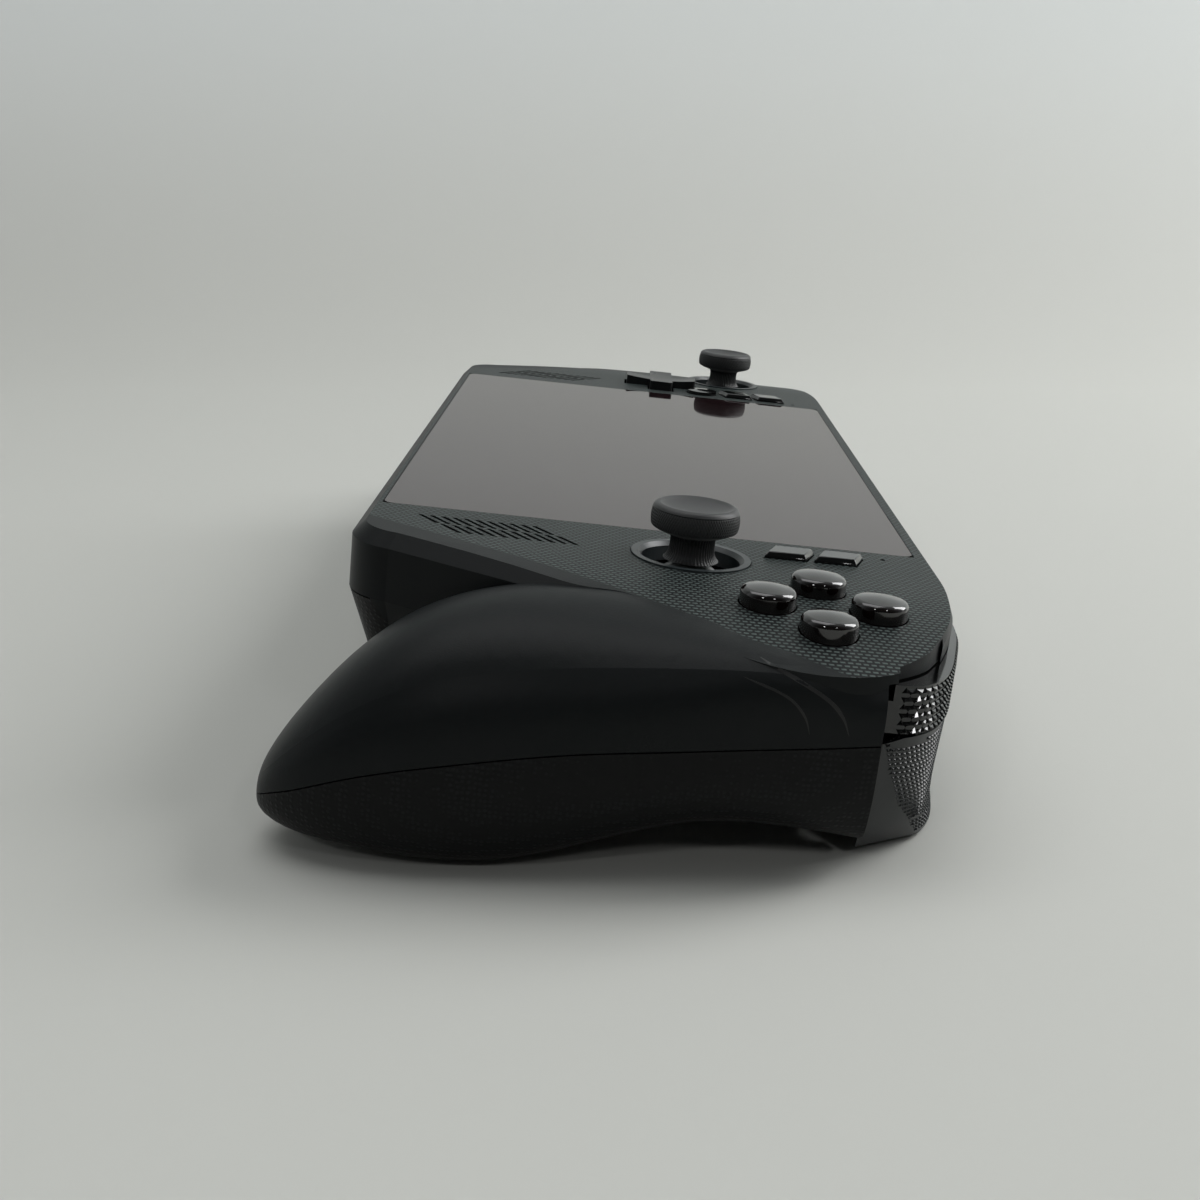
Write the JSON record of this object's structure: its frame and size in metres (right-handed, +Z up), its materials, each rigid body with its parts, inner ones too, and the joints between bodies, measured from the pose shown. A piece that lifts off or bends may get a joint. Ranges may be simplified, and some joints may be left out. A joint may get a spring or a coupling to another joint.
{
  "type": "handheld game console",
  "caption": "Handheld game console with a wide screen between two full grips, thumb sticks, direction pad, face buttons, bumpers and triggers.",
  "frame": {"origin": "middle of the footprint, on the table that the console rests on", "axes": "+X along the length towards the four face buttons, +Y towards the edge with the triggers, +Z up; the screen faces up, tipped by 6 degrees"},
  "size_m": [0.291, 0.1172, 0.0504],
  "materials": {
    "face_plastic": "fine satin grain, dark grey-green",
    "grip_plastic": "fine satin grain, near black",
    "gloss_black": "polished black plastic",
    "trigger_plastic": "satin dark plastic",
    "action_resin": "clear dark resin, polished",
    "pad_plastic": "satin black plastic",
    "ring_plastic": "flat satin grey plastic",
    "stick_rubber": "soft black rubber with a knurled rim",
    "stick_plastic": "moulded black plastic",
    "steel": "bright steel",
    "screen_glass": "polished dark cover glass",
    "display_black": "unlit display behind the glass",
    "frame_metal": "cast light alloy",
    "board_resin": "dark board laminate",
    "battery_wrap": "black wrapped cells",
    "copper": "copper",
    "inner_plastic": "black moulded plastic"
  },
  "bodies": {
    "root": {"front_shell": "face_plastic", "back_shell": "grip_plastic", "direction_pad_base": "pad_plastic", "right_stick_ring": "ring_plastic", "left_stick_ring": "ring_plastic", "action_button_mat": "stick_rubber", "casing_screws": "steel", "bumper_pins": "steel", "trigger_pins": "steel", "right_stick_housing": "steel", "left_stick_housing": "steel", "usb_sockets": "steel", "card_socket": "steel", "vibration_motors": "steel", "display_glass": "screen_glass", "display_panel": "display_black", "middle_frame": "frame_metal", "mainboard": "board_resin", "solid_state_drive": "board_resin", "right_control_board": "board_resin", "left_control_board": "board_resin", "battery": "battery_wrap", "cold_plate": "copper", "heat_pipe": "copper", "fin_stacks": "copper", "right_fan_housing": "inner_plastic", "left_fan_housing": "inner_plastic", "speakers": "inner_plastic", "headphone_socket": "inner_plastic"},
    "right_stick_yoke": {"right_stick_yoke": "stick_plastic"},
    "right_stick_hub": {"right_stick_hub": "stick_plastic"},
    "right_stick_cap": {"right_stick_shaft": "steel", "right_stick_cap": "stick_rubber"},
    "left_stick_yoke": {"left_stick_yoke": "stick_plastic"},
    "left_stick_hub": {"left_stick_hub": "stick_plastic"},
    "left_stick_cap": {"left_stick_shaft": "steel", "left_stick_cap": "stick_rubber"},
    "action_button_low": {"action_button_low": "action_resin"},
    "action_button_high": {"action_button_high": "action_resin"},
    "action_button_inner": {"action_button_inner": "action_resin"},
    "action_button_outer": {"action_button_outer": "action_resin"},
    "direction_pad_pivot": {"direction_pad_pivot": "pad_plastic"},
    "direction_pad": {"direction_pad": "pad_plastic"},
    "guide_button": {"guide_button": "gloss_black"},
    "menu_button": {"menu_button": "gloss_black"},
    "library_button": {"library_button": "gloss_black"},
    "view_button": {"view_button": "gloss_black"},
    "command_button": {"command_button": "gloss_black"},
    "right_bumper": {"right_bumper": "gloss_black"},
    "right_trigger": {"right_trigger": "trigger_plastic"},
    "right_back_button": {"right_back_button": "grip_plastic"},
    "right_fan_rotor": {"right_fan_rotor": "inner_plastic"},
    "left_bumper": {"left_bumper": "gloss_black"},
    "left_trigger": {"left_trigger": "trigger_plastic"},
    "left_back_button": {"left_back_button": "grip_plastic"},
    "left_fan_rotor": {"left_fan_rotor": "inner_plastic"},
    "power_button": {"power_button": "trigger_plastic"},
    "volume_rocker": {"volume_rocker": "trigger_plastic"}
  },
  "joints": [
    {"name": "right_stick_tilt_x", "type": "hinge", "parent": "root", "child": "right_stick_yoke", "pos_m": [0.0982, 0.01235, 0.03167], "axis": [1, 0, 0], "range_deg": [-18, 18], "stiffness_Nm_per_rad": 0.03},
    {"name": "right_stick_tilt_y", "type": "hinge", "parent": "right_stick_yoke", "child": "right_stick_hub", "pos_m": [0.0982, 0.01235, 0.03167], "axis": [0, 0.9945, -0.1045], "range_deg": [-18, 18], "stiffness_Nm_per_rad": 0.03},
    {"name": "right_stick_click", "type": "slide", "parent": "right_stick_hub", "child": "right_stick_cap", "axis": [0, 0.1045, 0.9945], "range_m": [-0.0005, 0], "stiffness_N_per_m": 900},
    {"name": "left_stick_tilt_x", "type": "hinge", "parent": "root", "child": "left_stick_yoke", "pos_m": [-0.1145, 0.02916, 0.02991], "axis": [1, 0, 0], "range_deg": [-18, 18], "stiffness_Nm_per_rad": 0.03},
    {"name": "left_stick_tilt_y", "type": "hinge", "parent": "left_stick_yoke", "child": "left_stick_hub", "pos_m": [-0.1145, 0.02916, 0.02991], "axis": [0, 0.9945, -0.1045], "range_deg": [-18, 18], "stiffness_Nm_per_rad": 0.03},
    {"name": "left_stick_click", "type": "slide", "parent": "left_stick_hub", "child": "left_stick_cap", "axis": [0, 0.1045, 0.9945], "range_m": [-0.0005, 0], "stiffness_N_per_m": 900},
    {"name": "action_button_low_press", "type": "slide", "parent": "root", "child": "action_button_low", "axis": [0, 0.1045, 0.9945], "range_m": [-0.0012, 0], "stiffness_N_per_m": 400},
    {"name": "action_button_high_press", "type": "slide", "parent": "root", "child": "action_button_high", "axis": [0, 0.1045, 0.9945], "range_m": [-0.0012, 0], "stiffness_N_per_m": 400},
    {"name": "action_button_inner_press", "type": "slide", "parent": "root", "child": "action_button_inner", "axis": [0, 0.1045, 0.9945], "range_m": [-0.0012, 0], "stiffness_N_per_m": 400},
    {"name": "action_button_outer_press", "type": "slide", "parent": "root", "child": "action_button_outer", "axis": [0, 0.1045, 0.9945], "range_m": [-0.0012, 0], "stiffness_N_per_m": 400},
    {"name": "direction_pad_rock_x", "type": "hinge", "parent": "root", "child": "direction_pad_pivot", "pos_m": [-0.0982, 0.01038, 0.0349], "axis": [1, 0, 0], "range_deg": [-3.5, 3.5], "stiffness_Nm_per_rad": 0.08},
    {"name": "direction_pad_rock_y", "type": "hinge", "parent": "direction_pad_pivot", "child": "direction_pad", "pos_m": [-0.0982, 0.01038, 0.0349], "axis": [0, 0.9945, -0.1045], "range_deg": [-3.5, 3.5], "stiffness_Nm_per_rad": 0.08},
    {"name": "guide_button_press", "type": "slide", "parent": "root", "child": "guide_button", "axis": [0, 0.1045, 0.9945], "range_m": [-0.0006, 0], "stiffness_N_per_m": 400},
    {"name": "menu_button_press", "type": "slide", "parent": "root", "child": "menu_button", "axis": [0, 0.1045, 0.9945], "range_m": [-0.0006, 0], "stiffness_N_per_m": 400},
    {"name": "library_button_press", "type": "slide", "parent": "root", "child": "library_button", "axis": [0, 0.1045, 0.9945], "range_m": [-0.0006, 0], "stiffness_N_per_m": 400},
    {"name": "view_button_press", "type": "slide", "parent": "root", "child": "view_button", "axis": [0, 0.1045, 0.9945], "range_m": [-0.0006, 0], "stiffness_N_per_m": 400},
    {"name": "command_button_press", "type": "slide", "parent": "root", "child": "command_button", "axis": [0, 0.1045, 0.9945], "range_m": [-0.0006, 0], "stiffness_N_per_m": 400},
    {"name": "right_bumper_press", "type": "hinge", "parent": "root", "child": "right_bumper", "pos_m": [0.09596, 0.05485, 0.0262], "axis": [0, 0.1045, 0.9945], "range_deg": [-1.2, 0], "stiffness_Nm_per_rad": 0.6},
    {"name": "right_trigger_pull", "type": "hinge", "parent": "root", "child": "right_trigger", "pos_m": [0.115, 0.04385, 0.01851], "axis": [1, 0, 0], "range_deg": [-12, 0], "stiffness_Nm_per_rad": 0.25},
    {"name": "right_back_button_press", "type": "slide", "parent": "root", "child": "right_back_button", "axis": [0, 0.1045, 0.9945], "range_m": [0, 0.0008], "stiffness_N_per_m": 500},
    {"name": "right_fan_spin", "type": "hinge", "parent": "root", "child": "right_fan_rotor", "pos_m": [0.047, 0.02367, 0.01791], "axis": [0, 0.1045, 0.9945], "continuous": true},
    {"name": "left_bumper_press", "type": "hinge", "parent": "root", "child": "left_bumper", "pos_m": [-0.09596, 0.05485, 0.0262], "axis": [0, 0.1045, 0.9945], "range_deg": [0, 1.2], "stiffness_Nm_per_rad": 0.6},
    {"name": "left_trigger_pull", "type": "hinge", "parent": "root", "child": "left_trigger", "pos_m": [-0.115, 0.04385, 0.01851], "axis": [1, 0, 0], "range_deg": [-12, 0], "stiffness_Nm_per_rad": 0.25},
    {"name": "left_back_button_press", "type": "slide", "parent": "root", "child": "left_back_button", "axis": [0, 0.1045, 0.9945], "range_m": [0, 0.0008], "stiffness_N_per_m": 500},
    {"name": "left_fan_spin", "type": "hinge", "parent": "root", "child": "left_fan_rotor", "pos_m": [-0.047, 0.02367, 0.01791], "axis": [0, 0.1045, 0.9945], "continuous": true},
    {"name": "power_button_press", "type": "slide", "parent": "root", "child": "power_button", "axis": [0, 0.9945, -0.1045], "range_m": [-0.0005, 0], "stiffness_N_per_m": 500},
    {"name": "volume_rocker_rock", "type": "hinge", "parent": "root", "child": "volume_rocker", "pos_m": [-0.056, 0.05234, 0.02124], "axis": [0, 0.1045, 0.9945], "range_deg": [-1, 1], "stiffness_Nm_per_rad": 0.08}
  ]
}
